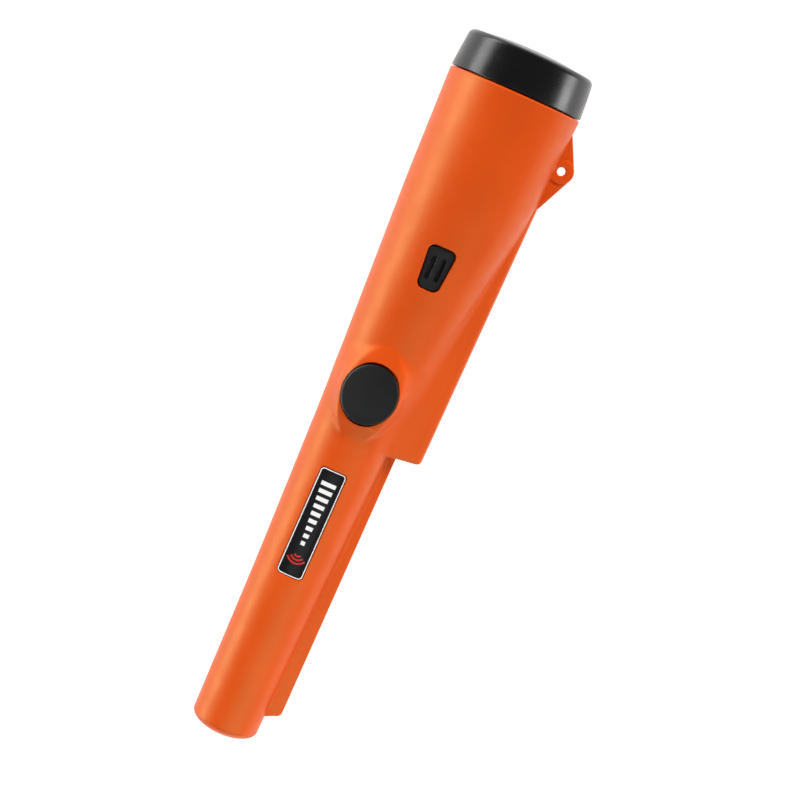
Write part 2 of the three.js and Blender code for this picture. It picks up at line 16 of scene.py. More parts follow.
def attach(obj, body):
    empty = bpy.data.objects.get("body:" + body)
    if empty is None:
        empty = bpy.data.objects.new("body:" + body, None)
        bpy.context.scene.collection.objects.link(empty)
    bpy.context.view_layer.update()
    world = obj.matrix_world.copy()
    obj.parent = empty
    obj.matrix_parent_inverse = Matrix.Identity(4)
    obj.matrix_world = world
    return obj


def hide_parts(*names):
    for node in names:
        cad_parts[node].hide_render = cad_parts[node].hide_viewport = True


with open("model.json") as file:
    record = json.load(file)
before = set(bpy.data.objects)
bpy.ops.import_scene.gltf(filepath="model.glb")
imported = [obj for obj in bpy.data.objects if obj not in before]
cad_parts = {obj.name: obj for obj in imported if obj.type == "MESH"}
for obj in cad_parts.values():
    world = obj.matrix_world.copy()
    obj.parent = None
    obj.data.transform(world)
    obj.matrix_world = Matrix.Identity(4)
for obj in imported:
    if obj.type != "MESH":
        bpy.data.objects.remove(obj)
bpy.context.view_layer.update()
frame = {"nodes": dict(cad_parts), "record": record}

# ---------------------------------------------------------------- dimensions, in millimetres

MM = 0.001
CAP_END_Y = 240.0
CAP_X = 3.55
SHOULDER_Y = 226.0
WALL = 2.0
GAP = 0.3
SEAM_Z = 2.0
SEAM_HALF = 0.1

NOSE_LENGTH = 4.4
STATION_Y = [5.0, 60.0, 118.0, 190.0, 226.0]
STATION_RADIUS = [11.05, 12.0, 13.7, 20.45, 21.85]
STATION_OFFSET = [0.0, 0.0, 0.0, 3.25, 3.55]

KEEL_EDGE_X, KEEL_EDGE_RISE = 23.95, 0.008
KEEL_ROOT_HALF, KEEL_EDGE_HALF = 8.6, 3.0
KEEL_STEP_Y, KEEL_TOP_Y, KEEL_SLANT = 106.6, 219.0, 0.09
STEP_CORNER = 1.2
SLANT_START_X, SLANT_END_Y = 13.0, 124.0  # where the step's slope starts, and where it has died out
BLADE_LOW_Y, BLADE_EDGE_X, BLADE_HALF, BLADE_CORNER = 10.6, 15.95, 1.3, 2.0

BUTTON_Y, BUTTON_HALF_X, BUTTON_HALF_Y = 122.8, 8.9, 9.7
BOSS_HALF_X, BOSS_HALF_Y, BOSS_PLAN = 9.9, 17.2, 1.65
BOSS_TOP_Z, BOSS_LEVEL = 15.6, 10.1
BOSS_CAP_END_Z, BOSS_TIP_END_Z = 15.4, 12.0
BOSS_FILLET, BOSS_EDGE = (4.0, 2.2), (3.0, 1.6)  # towards the cap, towards the tip
POCKET_FLOOR_Z, BUTTON_BASE_Z, BUTTON_EDGE_Z, BUTTON_CROWN_Z = 13.4, 14.5, 16.3, 17.1

GRILLE_X, GRILLE_Y, GRILLE_CORNER = 2.8, 166.9, 1.9
GRILLE_CAP_WIDTH, GRILLE_TIP_WIDTH, GRILLE_LENGTH = 8.4, 6.8, 13.6
SLOT_WIDTH, SLOT_LENGTH, SLOT_SPACING = 1.3, 7.4, 3.1
LABEL_X, LABEL_Y, LABEL_WIDTH, LABEL_LENGTH, LABEL_CORNER = -0.25, 77.5, 8.6, 36.8, 1.3

NECK_OUTER, NECK_BORE, NECK_END_Y, NECK_GROOVE, NECK_GROOVE_TOP = 17.2, 15.4, 236.8, 16.4, 228.5
THREAD_PITCH, THREAD_HEIGHT, THREAD_START_Y = 3.5, 0.9, 230.2
LAMP_X, LAMP_Z, LAMP_RADIUS = 17.8, -0.5, 1.5

# ---------------------------------------------------------------- the row's frame

mounts = {m["name"]: m for m in frame["record"]["mounts"]}
along = Vector(mounts["cap_end"]["axis"]).normalized()
outward = Vector(mounts["lanyard_eye"]["axis"]).normalized()
across = along.cross(outward).normalized()
TURN = Matrix((across, along, outward)).transposed()
ORIGIN = Vector(mounts["cap_end"]["pos_m"]) - TURN @ Vector((CAP_X, CAP_END_Y, 0)) * MM
TO_ROW = Matrix.Translation(ORIGIN) @ TURN.to_4x4() @ Matrix.Scale(MM, 4)

# ---------------------------------------------------------------- materials


def new_material(name):
    made = bpy.data.materials.new(name)
    made.use_nodes = True
    shader = made.node_tree.nodes["Principled BSDF"]
    return made, made.node_tree, shader


def noise(tree, scale, detail=4.0, roughness=0.55, stretch=None):
    """Noise over the object's own coordinates; scale is in features per metre."""
    coordinates = tree.nodes.new("ShaderNodeTexCoord")
    source = coordinates.outputs["Object"]
    if stretch is not None:
        mapping = tree.nodes.new("ShaderNodeMapping")
        mapping.inputs["Scale"].default_value = stretch
        tree.links.new(source, mapping.inputs["Vector"])
        source = mapping.outputs["Vector"]
    node = tree.nodes.new("ShaderNodeTexNoise")
    node.inputs["Scale"].default_value = scale
    node.inputs["Detail"].default_value = detail
    node.inputs["Roughness"].default_value = roughness
    tree.links.new(source, node.inputs["Vector"])
    return node.outputs["Fac"]


def ramp(tree, value, low, high, from_min=0.35, from_max=0.65):
    node = tree.nodes.new("ShaderNodeMapRange")
    node.inputs["From Min"].default_value = from_min
    node.inputs["From Max"].default_value = from_max
    node.inputs["To Min"].default_value = low
    node.inputs["To Max"].default_value = high
    tree.links.new(value, node.inputs["Value"])
    return node.outputs["Result"]


def mixed(tree, share, first, second):
    node = tree.nodes.new("ShaderNodeMix")
    node.data_type = "RGBA"
    tree.links.new(share, node.inputs["Factor"])
    for socket, colour in (("A", first), ("B", second)):
        slot = next(i for i in node.inputs if i.name == socket and i.type == "RGBA")
        if isinstance(colour, bpy.types.NodeSocket):
            tree.links.new(colour, slot)
        else:
            slot.default_value = (*colour, 1)
    return next(o for o in node.outputs if o.type == "RGBA")


def bump(tree, shader, heights):
    """Stacks (height, distance in metres, strength) bumps into the shader's normal."""
    normal = None
    for height, distance, strength in heights:
        node = tree.nodes.new("ShaderNodeBump")
        node.inputs["Distance"].default_value = distance
        node.inputs["Strength"].default_value = strength
        tree.links.new(height, node.inputs["Height"])
        if normal is not None:
            tree.links.new(normal, node.inputs["Normal"])
        normal = node.outputs["Normal"]
    tree.links.new(normal, shader.inputs["Normal"])


def moulded(
    name,
    colour,
    shade,
    roughness,
    grain=0.35,
    grain_size=2600.0,
    metallic=0.0,
    specular=0.5,
    tint=(1, 1, 1),
):
    """Moulded plastic or rubber: slight mottling in its colour, patchy gloss and fine spark-eroded grain."""
    made, tree, shader = new_material(name)
    patches = noise(tree, 45.0, 3.0)
    fine = noise(tree, grain_size, 2.0)
    tree.links.new(mixed(tree, ramp(tree, patches, 0, 1), colour, shade), shader.inputs["Base Color"])
    worn = noise(tree, 220.0, 5.0)
    tree.links.new(ramp(tree, worn, roughness * 0.9, roughness * 1.12), shader.inputs["Roughness"])
    shader.inputs["Metallic"].default_value = metallic
    shader.inputs["Specular IOR Level"].default_value = specular
    shader.inputs["Specular Tint"].default_value = (*tint, 1)
    bump(tree, shader, [(patches, 0.0006, 0.06), (fine, 0.00004, grain)])
    return made


def drawn_metal(name, colour, shade, roughness, stretch=(1, 0.06, 1)):
    """Plated or drawn metal, with faint lines along Y."""
    made, tree, shader = new_material(name)
    lines = noise(tree, 2400.0, 3.0, stretch=stretch)
    patches = noise(tree, 120.0, 4.0)
    tree.links.new(mixed(tree, ramp(tree, patches, 0, 1), colour, shade), shader.inputs["Base Color"])
    tree.links.new(ramp(tree, lines, roughness * 0.8, roughness * 1.3), shader.inputs["Roughness"])
    shader.inputs["Metallic"].default_value = 1.0
    bump(tree, shader, [(lines, 0.00002, 0.25)])
    return made


def foam(name, colour, shade):
    made, tree, shader = new_material(name)
    cells = tree.nodes.new("ShaderNodeTexVoronoi")
    coordinates = tree.nodes.new("ShaderNodeTexCoord")
    cells.inputs["Scale"].default_value = 1700.0
    tree.links.new(coordinates.outputs["Object"], cells.inputs["Vector"])
    tree.links.new(
        mixed(tree, ramp(tree, cells.outputs["Distance"], 0, 1, 0.1, 0.7), shade, colour),
        shader.inputs["Base Color"],
    )
    shader.inputs["Roughness"].default_value = 0.95
    shader.inputs["Specular IOR Level"].default_value = 0.2
    bump(tree, shader, [(cells.outputs["Distance"], 0.0004, 0.8)])
    return made


def gauze(name, thread, shade):
    """Fine woven screen cloth: threads in two directions, 0.42 mm apart, with dark gaps between them."""
    made, tree, shader = new_material(name)
    coordinates = tree.nodes.new("ShaderNodeTexCoord")
    threads = []
    for direction in ("X", "Y"):
        wave = tree.nodes.new("ShaderNodeTexWave")
        wave.bands_direction = direction
        wave.inputs["Scale"].default_value = 750.0
        wave.inputs["Distortion"].default_value = 0.4
        tree.links.new(coordinates.outputs["Object"], wave.inputs["Vector"])
        threads.append(wave.outputs["Fac"])
    over = tree.nodes.new("ShaderNodeMath")
    over.operation = "MAXIMUM"
    tree.links.new(threads[0], over.inputs[0])
    tree.links.new(threads[1], over.inputs[1])
    weave = over.outputs["Value"]
    cloth = mixed(tree, ramp(tree, weave, 0, 1, 0.45, 0.9), shade, thread)
    tree.links.new(cloth, shader.inputs["Base Color"])
    tree.links.new(ramp(tree, noise(tree, 900.0), 0.7, 0.85), shader.inputs["Roughness"])
    bump(tree, shader, [(weave, 0.00012, 0.9)])
    return made


def lens_material():
    made, tree, shader = new_material("clear_lens")
    haze = noise(tree, 500.0, 3.0)
    clouded = mixed(tree, ramp(tree, haze, 0, 1), (0.93, 0.96, 0.98), (0.85, 0.9, 0.93))
    tree.links.new(clouded, shader.inputs["Base Color"])
    tree.links.new(ramp(tree, haze, 0.05, 0.12), shader.inputs["Roughness"])
    shader.inputs["Transmission Weight"].default_value = 0.75
    shader.inputs["IOR"].default_value = 1.49
    return made


ORANGE = moulded(
    "orange_plastic",
    (0.64, 0.062, 0.003),
    (0.61, 0.058, 0.0028),
    0.46,
    0.22,
    specular=0.85,
    tint=(1, 0.98, 0.35),
)
BLACK = moulded("black_plastic", (0.0035, 0.0036, 0.004), (0.005, 0.005, 0.0055), 0.27, 0.2, specular=0.6)
BUTTON_RUBBER = moulded(
    "button_rubber", (0.0095, 0.0098, 0.0103), (0.0125, 0.0128, 0.0133), 0.48, 0.4, 3200.0
)
RUBBER = moulded("black_rubber", (0.012, 0.012, 0.012), (0.018, 0.018, 0.018), 0.55, 0.3)
GRILLE_BLACK = moulded("grille_black", (0.007, 0.007, 0.0075), (0.01, 0.01, 0.0105), 0.4, 0.3)
LABEL_BLACK = moulded("label_black", (0.005, 0.005, 0.006), (0.0065, 0.0065, 0.0075), 0.3, 0.1, 4000.0)
LABEL_WHITE = moulded("label_white", (0.8, 0.79, 0.78), (0.74, 0.73, 0.72), 0.4, 0.1, 4000.0)
LABEL_RED = moulded("label_red", (0.55, 0.02, 0.012), (0.48, 0.016, 0.01), 0.4, 0.1, 4000.0)
WHITE = moulded("white_plastic", (0.74, 0.73, 0.69), (0.68, 0.67, 0.62), 0.45)
FOAM = foam("foam", (0.035, 0.035, 0.038), (0.008, 0.008, 0.009))
GAUZE = gauze("gauze", (0.13, 0.13, 0.135), (0.012, 0.012, 0.013))
BOARD = moulded("circuit_board", (0.012, 0.10, 0.035), (0.008, 0.075, 0.028), 0.3, 0.15, 1500.0)
RED_WIRE = moulded("red_insulation", (0.5, 0.016, 0.01), (0.42, 0.012, 0.008), 0.4)
LENS = lens_material()
STEEL = drawn_metal("steel", (0.62, 0.63, 0.65), (0.5, 0.51, 0.53), 0.28)
BRASS = drawn_metal("brass", (0.66, 0.46, 0.16), (0.52, 0.34, 0.11), 0.32)
COPPER = drawn_metal("copper", (0.62, 0.23, 0.09), (0.45, 0.15, 0.06), 0.35, stretch=(0.05, 1, 0.05))
FERRITE = moulded("ferrite", (0.035, 0.035, 0.037), (0.05, 0.05, 0.052), 0.6, 0.5, 1800.0)
JACKET = moulded("battery_jacket", (0.012, 0.013, 0.016), (0.017, 0.018, 0.021), 0.3, 0.1, metallic=0.4)

# ---------------------------------------------------------------- mesh helpers


def object_from(name, points, faces, material):
    mesh = bpy.data.meshes.new(name)
    mesh.from_pydata([tuple(p) for p in np.asarray(points, float)], [], [tuple(f) for f in faces])
    mesh.validate()
    made = bpy.data.objects.new(name, mesh)
    bpy.context.scene.collection.objects.link(made)
    made.data.materials.append(material)
    return made


def bake_modifiers(target):
    bpy.context.view_layer.update()
    graph = bpy.context.evaluated_depsgraph_get()
    mesh = bpy.data.meshes.new_from_object(target.evaluated_get(graph))
    target.modifiers.clear()
    target.data = mesh
    return target


def cut(target, cutter, operation="DIFFERENCE"):
    modifier = target.modifiers.new("cut", "BOOLEAN")
    modifier.operation = operation
    modifier.solver = "EXACT"
    modifier.object = cutter
    bake_modifiers(target)
    bpy.data.objects.remove(cutter, do_unlink=True)
    return target


def rounded(target, width, segments=2, angle=35):
    modifier = target.modifiers.new("round", "BEVEL")
    modifier.width = width
    modifier.segments = segments
    modifier.limit_method = "ANGLE"
    modifier.angle_limit = math.radians(angle)
    modifier.harden_normals = False
    return bake_modifiers(target)


def joined(first, *others):
    bm = bmesh.new()
    for part in (first, *others):
        bm.from_mesh(part.data)
    bm.to_mesh(first.data)
    bm.free()
    for part in others:
        bpy.data.objects.remove(part, do_unlink=True)
    return first


def finished(target, body, replaced=(), smooth=32):
    """Puts a piece made in the probe's frame into the row's, hangs it on the body it rides on, and hides the
    CAD parts it stands for.
    """
    target.data.transform(TO_ROW)
    target.data.shade_smooth()
    target.data.set_sharp_from_angle(angle=math.radians(smooth))
    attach(target, body)
    if replaced:
        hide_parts(*replaced)
    return target


def rings_mesh(name, rings, material, caps=(True, True), closed=False):
    """A skin over rings of equal point counts, each closed with a fan to its middle."""
    rings = [np.asarray(r, float) for r in rings]
    count = len(rings[0])
    points = np.concatenate(rings)
    faces = []
    spans = len(rings) if closed else len(rings) - 1
    for i in range(spans):
        a, b = i * count, ((i + 1) % len(rings)) * count
        for k in range(count):
            k2 = (k + 1) % count
            faces.append((a + k, a + k2, b + k2, b + k))
    extra = []
    if not closed:
        for end, ring_index, wanted in ((0, 0, caps[0]), (1, len(rings) - 1, caps[1])):
            if not wanted:
                continue
            middle = len(points) + len(extra)
            extra.append(rings[ring_index].mean(axis=0))
            base = ring_index * count
            for k in range(count):
                k2 = (k + 1) % count
                faces.append((base + k2, base + k, middle) if end == 0 else (base + k, base + k2, middle))
    if extra:
        points = np.concatenate([points, np.array(extra)])
    return object_from(name, points, faces, material)


def outward_faces(target):
    bm = bmesh.new()
    bm.from_mesh(target.data)
    bmesh.ops.recalc_face_normals(bm, faces=bm.faces)
    bm.to_mesh(target.data)
    bm.free()
    return target


def arc(centre, radius, start, end, steps):
    """Points of a circular arc in profile space, angles in degrees."""
    turns = np.radians(np.linspace(start, end, steps + 1))
    return [(centre[0] + radius * math.cos(t), centre[1] + radius * math.sin(t)) for t in turns]


def lathe(name, profile, material, x=CAP_X, z=0.0, sides=96, axis="Y", scale=(1, 1)):
    """A profile of (radius, height) points turned about a line along Y or Z.

    One that starts and ends on the axis is capped there, and one that doesn't closes on itself as a ring.
    """
    profile = [tuple(map(float, p)) for p in profile]
    on_axis = profile[0][0] < 1e-9
    body = [p for p in profile if p[0] >= 1e-9]
    turns = np.linspace(0, 2 * math.pi, sides, endpoint=False)
    rings = []
    for radius, height in body:
        first, second = radius * np.cos(turns) * scale[0], radius * np.sin(turns) * scale[1]
        level = np.full(sides, height)
        if axis == "Y":
            rings.append(np.column_stack([x + first, level, z + second]))
        else:
            rings.append(np.column_stack([x + first, z + second, level]))
    made = rings_mesh(name, rings, material, caps=(on_axis, on_axis), closed=not on_axis)
    if on_axis:
        for ring_index, height in ((0, profile[0][1]), (1, profile[-1][1])):
            vertex = made.data.vertices[len(body) * sides + ring_index]
            vertex.co = (x, height, z) if axis == "Y" else (x, z, height)
    return outward_faces(made)


def slab(name, loops, low, high, material, bevel=0.0, segments=3):
    """A flat plate between two z levels, outlined by one outer loop and any holes."""
    bm = bmesh.new()
    edges = []
    for loop in loops:
        corners = [bm.verts.new((x, y, low)) for x, y in loop]
        edges += [bm.edges.new((corners[i], corners[(i + 1) % len(corners)])) for i in range(len(corners))]
    bmesh.ops.triangle_fill(bm, edges=edges, use_beauty=True)
    bmesh.ops.dissolve_limit(bm, angle_limit=0.001, verts=bm.verts, edges=bm.edges)
    top = bmesh.ops.extrude_face_region(bm, geom=list(bm.faces))
    lifted = [v for v in top["geom"] if isinstance(v, bmesh.types.BMVert)]
    bmesh.ops.translate(bm, verts=lifted, vec=(0, 0, high - low))
    bmesh.ops.recalc_face_normals(bm, faces=bm.faces)
    mesh = bpy.data.meshes.new(name)
    bm.to_mesh(mesh)
    bm.free()
    made = bpy.data.objects.new(name, mesh)
    bpy.context.scene.collection.objects.link(made)
    mesh.materials.append(material)
    return rounded(made, bevel, segments) if bevel else made


def helix(name, root, crest, start_y, turns, material, steps=72):
    """A thread's ridge on the cap's axis, of the same section as the CAD's, tapering away at both ends."""
    sections = []
    count = int(turns * steps)
    for i in range(count + 1):
        angle = 2 * math.pi * i / steps
        y = start_y + THREAD_PITCH * i / steps
        run = min(i, count - i) / (steps / 10)
        height = root + (crest - root) * min(1.0, 0.35 + run)
        corners = [(root, -0.75), (height, -0.4), (height, 0.4), (root, 0.75)]
        sections.append([(CAP_X + r * math.sin(angle), y + dy, r * math.cos(angle)) for r, dy in corners])
    return outward_faces(rings_mesh(name, sections, material))


# ---------------------------------------------------------------- the body's surface


def body_radius(y):
    return np.interp(y, STATION_Y, STATION_RADIUS)


def body_offset(y):
    return np.interp(y, STATION_Y, STATION_OFFSET)


def smooth_profile(function, y, reach=7.0):
    """The stations' straight lines with their corners eased."""
    y = np.asarray(y, float)
    spread = np.linspace(-reach, reach, 9)
    room = np.clip(np.minimum(y - STATION_Y[0], STATION_Y[-1] - y) / reach, 0, 1)
    return np.mean([function(y + s * room) for s in spread], axis=0)


def surface_z(x, y, depth=0.0):
    """Height of the round body's skin over a point of the plan, less depth."""
    radius = smooth_profile(body_radius, y) - depth
    return np.sqrt(np.maximum(radius**2 - (x - smooth_profile(body_offset, y)) ** 2, 0.01))


def smooth_max(a, b, k):
    h = np.clip(k - np.abs(a - b), 0, None) / k
    return np.maximum(a, b) + h * h * k / 4


def smooth_min(a, b, k):
    return -smooth_max(-a, -b, k)


def keel_reach(turn, y, inset):
    """How far the keel's section reaches from the body's axis in each direction."""
    offset = float(smooth_profile(body_offset, y))
    edge = KEEL_EDGE_HALF - inset
    edge_x = KEEL_EDGE_X + KEEL_EDGE_RISE * (y - KEEL_STEP_Y) - inset - edge
    root = KEEL_ROOT_HALF - inset
    slope = (edge - root) / (edge_x - 2.0)
    side, rise = np.cos(turn), np.abs(np.sin(turn))
    flank = (root + slope * (offset - 2.0)) / np.maximum(rise - slope * side, 1e-3)
    flank = np.where(side > -0.2, np.clip(flank, 0, 60), 0)
    distance = edge_x - offset
    inside = np.maximum(edge**2 - (distance * rise) ** 2, 0)
    nose = distance * side + np.sqrt(inside)
    past = offset + flank * side > edge_x
    reach = np.where(past & (side > 0), nose, flank)
    return np.where(side > 0, reach, 0)


def cap_or_tip_side(y, pair):
    """A value of the boss that eases from its cap side's to its tip side's."""
    return float(np.interp(y, [BUTTON_Y - 8, BUTTON_Y + 4], pair[::-1]))


def boss_reach(turn, y):
    """How far the button's boss, with its bowed roof, reaches from the body's axis."""
    away = (y - BUTTON_Y) / BOSS_HALF_Y
    if abs(away) >= 1:
        return np.zeros_like(turn)
    half = BOSS_HALF_X * (1 - abs(away) ** BOSS_PLAN) ** (1 / BOSS_PLAN)
    past = max(0.0, abs(y - BUTTON_Y) - BOSS_LEVEL) / (BOSS_HALF_Y - BOSS_LEVEL)
    end_z = BOSS_CAP_END_Z if y > BUTTON_Y else BOSS_TIP_END_Z
    roof_z = BOSS_TOP_Z + (end_z - BOSS_TOP_Z) * past
    offset = float(smooth_profile(body_offset, y))
    side, rise = np.cos(turn), np.sin(turn)
    draft = math.tan(math.radians(6 + (24 if y > BUTTON_Y else 8) * away**2))
    reach_x = half + np.where(side > 0, -offset, offset)
    wall = (reach_x + roof_z * draft) / np.maximum(np.abs(side) + rise * draft, 1e-3)
    bow = 0.012 + 0.014 * abs(away)
    roof = 2 * roof_z / np.maximum(rise + np.sqrt(rise**2 + 4 * bow * side**2 * roof_z), 1e-6)
    return np.where(rise > 0.05, smooth_min(wall, roof, cap_or_tip_side(y, BOSS_EDGE)), 0)


def skin_reach(turn, y, inset=0.0, keel_inset=None, with_keel=True):
    """Radius of the shells' skin about the body's axis, or of their inner face if inset is the wall."""
    radius = float(smooth_profile(body_radius, y)) - inset
    reach = np.full_like(turn, radius)
    if with_keel and y < KEEL_TOP_Y:
        keel = keel_reach(turn, y, inset if keel_inset is None else keel_inset)
        proud = KEEL_EDGE_X - float(smooth_profile(body_offset, y)) - radius
        past_step = float(np.clip((y - KEEL_STEP_Y) / 20, 0, 1))
        reach = smooth_max(reach, keel, float(np.clip(0.8 * proud, 0.15, 3.2 + 4.3 * past_step)))
    if inset == 0:
        away = abs(y - BUTTON_Y) / BOSS_HALF_Y
        fillet = 0.1 + cap_or_tip_side(y, BOSS_FILLET) * float(np.clip((1 - away) / 0.4, 0, 1))
        reach = smooth_max(reach, boss_reach(turn, y), fillet)
        blend = float(np.clip(min(y - BLADE_LOW_Y - 2, KEEL_STEP_Y - y) / 3, 0, 1))
        if blend > 0:
            plate_reach = (BLADE_HALF - 0.05) / np.maximum(np.abs(np.sin(turn)), 1e-3)
            plate = np.where(np.cos(turn) > 0, plate_reach, 0)
            reach = smooth_max(reach, np.minimum(plate, radius + 0.9 * blend), 0.05 + 2.2 * blend)
    return reach


def ring_at(turn, reach, y):
    offset = smooth_profile(body_offset, np.clip(y, STATION_Y[0], SHOULDER_Y))
    return np.column_stack([offset + reach * np.cos(turn), y + 0 * turn, reach * np.sin(turn)])


def step_slant(x, y):
    """The keel's lower end is lowest beside the tube; the slope dies out along the keel."""
    fade = np.clip((SLANT_END_Y - y) / (SLANT_END_Y - KEEL_STEP_Y), 0, 1)
    return KEEL_SLANT * np.maximum(0, x - SLANT_START_X) * fade


def turns_round(count=232, extra=36, zone=18.0):
    """Directions round the axis, closer together at the keel's edge."""
    base = np.linspace(0, 360, count, endpoint=False)
    more = np.linspace(-zone, zone, extra) % 360
    return np.radians(np.unique(np.round(np.concatenate([base, more]), 3)))


def shell_skin():
    """Both shells as one closed body: the outer skin, the neck, its bore and the inner skin."""
    turn = turns_round()
    flat = np.ones_like(turn)
    rings = []
    nose_turns = np.linspace(0, math.pi / 2, 15)[1:]
    for t in nose_turns:
        y = STATION_Y[0] - NOSE_LENGTH * math.cos(t)
        rings.append(ring_at(turn, STATION_RADIUS[0] * math.sin(t) * flat, y * flat))
    step_foot = KEEL_STEP_Y + KEEL_SLANT * (SLANT_START_X - KEEL_EDGE_X)
    for y in np.arange(6.5, step_foot - 0.5, 1.5):
        rings.append(ring_at(turn, skin_reach(turn, y, with_keel=False), y * flat))
    under_step = step_foot - 0.12
    rings.append(ring_at(turn, skin_reach(turn, under_step, with_keel=False), under_step * flat))
    for t in np.linspace(0, math.pi / 2, 6):
        y = step_foot + STEP_CORNER * (1 - math.cos(t))
        reach = skin_reach(turn, max(y, KEEL_STEP_Y), keel_inset=STEP_CORNER * (1 - math.sin(t)))
        rings.append(ring_at(turn, reach, y + step_slant(reach * np.cos(turn), KEEL_STEP_Y)))
    levels = np.concatenate([np.arange(step_foot + 1.8, 144.0, 0.6), np.arange(144.6, 225.0, 1.2)])
    for y in levels:
        reach = skin_reach(turn, y)
        rings.append(ring_at(turn, reach, y + step_slant(reach * np.cos(turn), y)))
    rim = 0.8
    for t in np.linspace(0, math.pi / 2, 6):
        radius = STATION_RADIUS[-1] - rim * (1 - math.cos(t))
        rings.append(ring_at(turn, radius * flat, (SHOULDER_Y - rim * (1 - math.sin(t))) * flat))
    neck = [
        (NECK_GROOVE + 0.2, SHOULDER_Y),
        (NECK_GROOVE, SHOULDER_Y + 0.2),
        (NECK_GROOVE, NECK_GROOVE_TOP - 0.2),
        (NECK_GROOVE + 0.2, NECK_GROOVE_TOP),
        (NECK_OUTER - 0.15, NECK_GROOVE_TOP),
        (NECK_OUTER, NECK_GROOVE_TOP + 0.15),
        (NECK_OUTER, NECK_END_Y - 0.6),
        (NECK_OUTER - 0.2, NECK_END_Y - 0.2),
        (NECK_OUTER - 0.6, NECK_END_Y),
        (NECK_BORE + 0.25, NECK_END_Y),
        (NECK_BORE, NECK_END_Y - 0.25),
        (NECK_BORE, SHOULDER_Y - 2.3),
    ]
    for radius, y in neck:
        rings.append(ring_at(turn, radius * flat, y * flat))
    for y in np.arange(SHOULDER_Y - 2.3, KEEL_STEP_Y + WALL, -4.0):
        rings.append(ring_at(turn, skin_reach(turn, y, WALL), y * flat))
    for y in [KEEL_STEP_Y + WALL - 0.2, *np.arange(KEEL_STEP_Y, 7.0, -6.0)]:
        rings.append(ring_at(turn, skin_reach(turn, y, WALL, with_keel=False), y * flat))
    for t in nose_turns[::-2]:
        y = STATION_Y[0] - (NOSE_LENGTH - WALL) * math.cos(t)
        rings.append(ring_at(turn, (STATION_RADIUS[0] - WALL) * math.sin(t) * flat, y * flat))
    made = rings_mesh("skin", rings, ORANGE)
    ends = len(rings) * len(turn)
    made.data.vertices[ends].co = (0, STATION_Y[0] - NOSE_LENGTH, 0)
    made.data.vertices[ends + 1].co = (0, STATION_Y[0] - NOSE_LENGTH + WALL, 0)
    return outward_faces(made)


def half_of(whole, name, front):
    """The part of a closed body on one side of the seam, its cut closed."""
    bm = bmesh.new()
    bm.from_mesh(whole.data)
    level = SEAM_Z + (SEAM_HALF if front else -SEAM_HALF)
    bmesh.ops.bisect_plane(
        bm,
        geom=[*bm.verts, *bm.edges, *bm.faces],
        dist=1e-5,
        plane_co=(0, 0, level),
        plane_no=(0, 0, 1),
        clear_outer=not front,
        clear_inner=front,
    )
    open_edges = [e for e in bm.edges if e.is_boundary]
    bmesh.ops.triangle_fill(bm, edges=open_edges, use_beauty=True)
    bmesh.ops.recalc_face_normals(bm, faces=bm.faces)
    mesh = bpy.data.meshes.new(name)
    bm.to_mesh(mesh)
    bm.free()
    made = bpy.data.objects.new(name, mesh)
    bpy.context.scene.collection.objects.link(made)
    mesh.materials.append(ORANGE)
    return made


# ---------------------------------------------------------------- outlines laid on the body


def rounded_outline(x, y, tip_width, cap_width, length, corner, grow=0.0, per_corner=10, per_side=14):
    """A rounded rectangle, wider or narrower at its cap end, as points anticlockwise from its tip end."""
    near, far, half, radius = tip_width / 2 + grow, cap_width / 2 + grow, length / 2 + grow, corner + grow
    centres = [
        (near - radius, -half + radius, -90),
        (far - radius, half - radius, 0),
        (-far + radius, half - radius, 90),
        (-near + radius, -half + radius, 180),
    ]
    points = []
    for index, (cx, cy, start) in enumerate(centres):
        points += arc((cx, cy), radius, start, start + 90, per_corner)
        nx, ny, begin = centres[(index + 1) % 4]
        turned = math.radians(begin)
        first, last = points[-1], (nx + radius * math.cos(turned), ny + radius * math.sin(turned))
        for share in np.linspace(0, 1, per_side + 1)[1:-1]:
            points.append((first[0] + (last[0] - first[0]) * share, first[1] + (last[1] - first[1]) * share))
    return np.array([(x + px, y + py) for px, py in points])


def ellipse_outline(x, y, half_x, half_y, count=160):
    turns = np.linspace(0, 2 * math.pi, count, endpoint=False)
    return np.column_stack([x + half_x * np.cos(turns), y + half_y * np.sin(turns)])


def draped(name, outlines, heights, material, middle, cap_rings=9):
    """A closed body over outlines at heights, both given from the bottom up.

    A height is a function of x and y, so its caps follow a curved surface.
    """
    rings = []
    for share in np.linspace(0.02, 1, cap_rings)[:-1]:
        plan = middle + (outlines[0] - middle) * share
        rings.append(np.column_stack([plan, heights[0](plan[:, 0], plan[:, 1])]))
    for plan, height in zip(outlines, heights):
        rings.append(np.column_stack([plan, height(plan[:, 0], plan[:, 1])]))
    for share in np.linspace(1, 0.02, cap_rings)[1:]:
        plan = middle + (outlines[-1] - middle) * share
        rings.append(np.column_stack([plan, heights[-1](plan[:, 0], plan[:, 1])]))
    return outward_faces(rings_mesh(name, rings, material))


def level(value):
    return lambda x, y: np.full_like(x, value)


def under_skin(depth):
    return lambda x, y: surface_z(x, y) - depth


def grille_outline(grow=0.0):
    return rounded_outline(
        GRILLE_X, GRILLE_Y, GRILLE_TIP_WIDTH, GRILLE_CAP_WIDTH, GRILLE_LENGTH, GRILLE_CORNER, grow
    )


def label_outline(grow=0.0):
    return rounded_outline(
        LABEL_X, LABEL_Y, LABEL_WIDTH, LABEL_WIDTH, LABEL_LENGTH, LABEL_CORNER, grow, 8, 18
    )


# ---------------------------------------------------------------- shells


